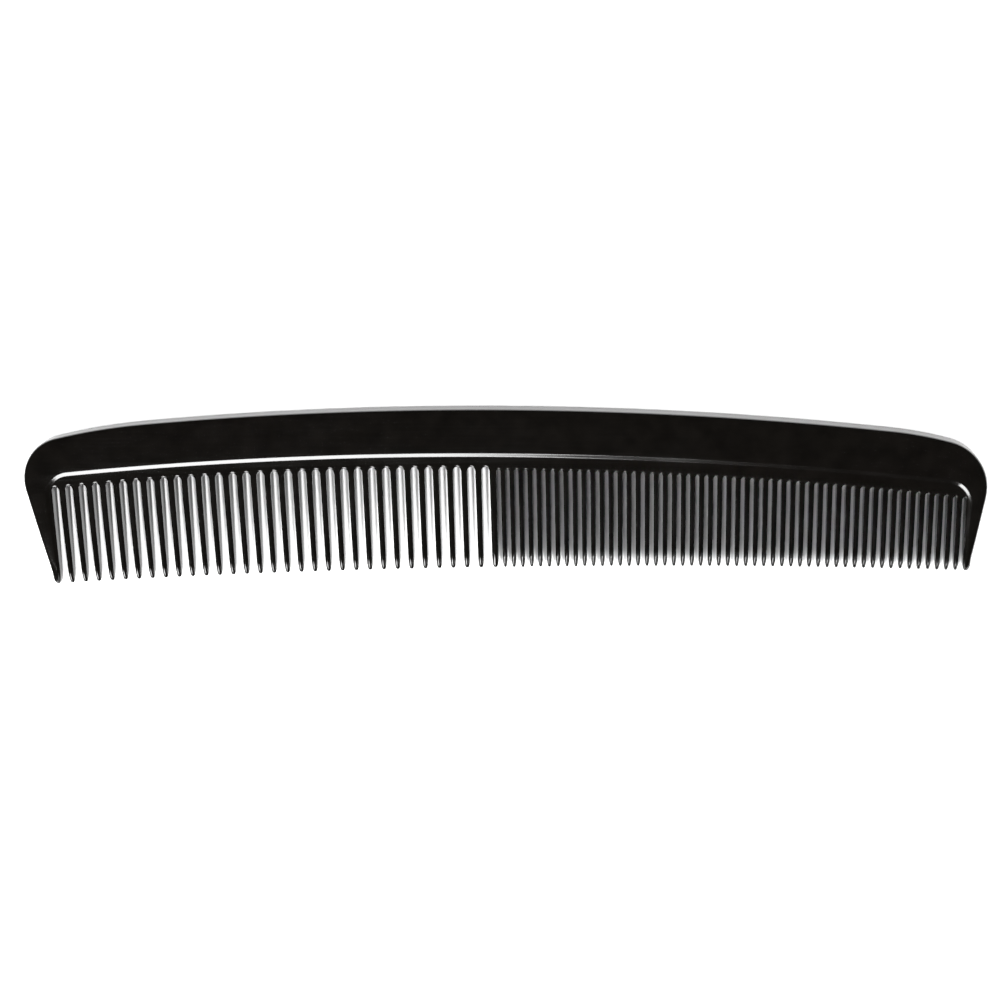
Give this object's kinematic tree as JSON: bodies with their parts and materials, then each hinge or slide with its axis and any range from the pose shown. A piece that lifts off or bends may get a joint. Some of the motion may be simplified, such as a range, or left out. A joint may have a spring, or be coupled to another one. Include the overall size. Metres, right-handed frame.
{
  "type": "dressing comb",
  "caption": "Straight glossy black hair comb with a curved back, wide-set teeth on one half, close-set teeth on the other and a broad guard tooth at each end.",
  "frame": {"origin": "middle of the comb's bounding box, on the plane that it lies flat on", "axes": "+X along the comb towards the close-set teeth, +Y across it towards the curved back, +Z through its thickness, up from the resting plane"},
  "size_m": [0.19, 0.037, 0.0042],
  "materials": {
    "black_plastic": "polished moulded black plastic"
  },
  "bodies": {
    "root": {"spine": "black_plastic", "coarse_end_tooth": "black_plastic", "coarse_tooth_01": "black_plastic", "coarse_tooth_02": "black_plastic", "coarse_tooth_03": "black_plastic", "coarse_tooth_04": "black_plastic", "coarse_tooth_05": "black_plastic", "coarse_tooth_06": "black_plastic", "coarse_tooth_07": "black_plastic", "coarse_tooth_08": "black_plastic", "coarse_tooth_09": "black_plastic", "coarse_tooth_10": "black_plastic", "coarse_tooth_11": "black_plastic", "coarse_tooth_12": "black_plastic", "coarse_tooth_13": "black_plastic", "coarse_tooth_14": "black_plastic", "coarse_tooth_15": "black_plastic", "coarse_tooth_16": "black_plastic", "coarse_tooth_17": "black_plastic", "coarse_tooth_18": "black_plastic", "coarse_tooth_19": "black_plastic", "coarse_tooth_20": "black_plastic", "coarse_tooth_21": "black_plastic", "coarse_tooth_22": "black_plastic", "coarse_tooth_23": "black_plastic", "coarse_tooth_24": "black_plastic", "coarse_tooth_25": "black_plastic", "coarse_tooth_26": "black_plastic", "coarse_tooth_27": "black_plastic", "coarse_tooth_28": "black_plastic", "coarse_tooth_29": "black_plastic", "coarse_tooth_30": "black_plastic", "coarse_tooth_31": "black_plastic", "divider_tooth": "black_plastic", "fine_teeth_01": "black_plastic", "fine_teeth_02": "black_plastic", "fine_teeth_03": "black_plastic", "fine_teeth_04": "black_plastic", "fine_teeth_05": "black_plastic", "fine_teeth_06": "black_plastic", "fine_teeth_07": "black_plastic", "fine_teeth_08": "black_plastic", "fine_teeth_09": "black_plastic", "fine_teeth_10": "black_plastic", "fine_teeth_11": "black_plastic", "fine_teeth_12": "black_plastic", "fine_teeth_13": "black_plastic", "fine_teeth_14": "black_plastic", "fine_teeth_15": "black_plastic", "fine_teeth_16": "black_plastic", "fine_teeth_17": "black_plastic", "fine_end_tooth": "black_plastic"}
  },
  "joints": []
}
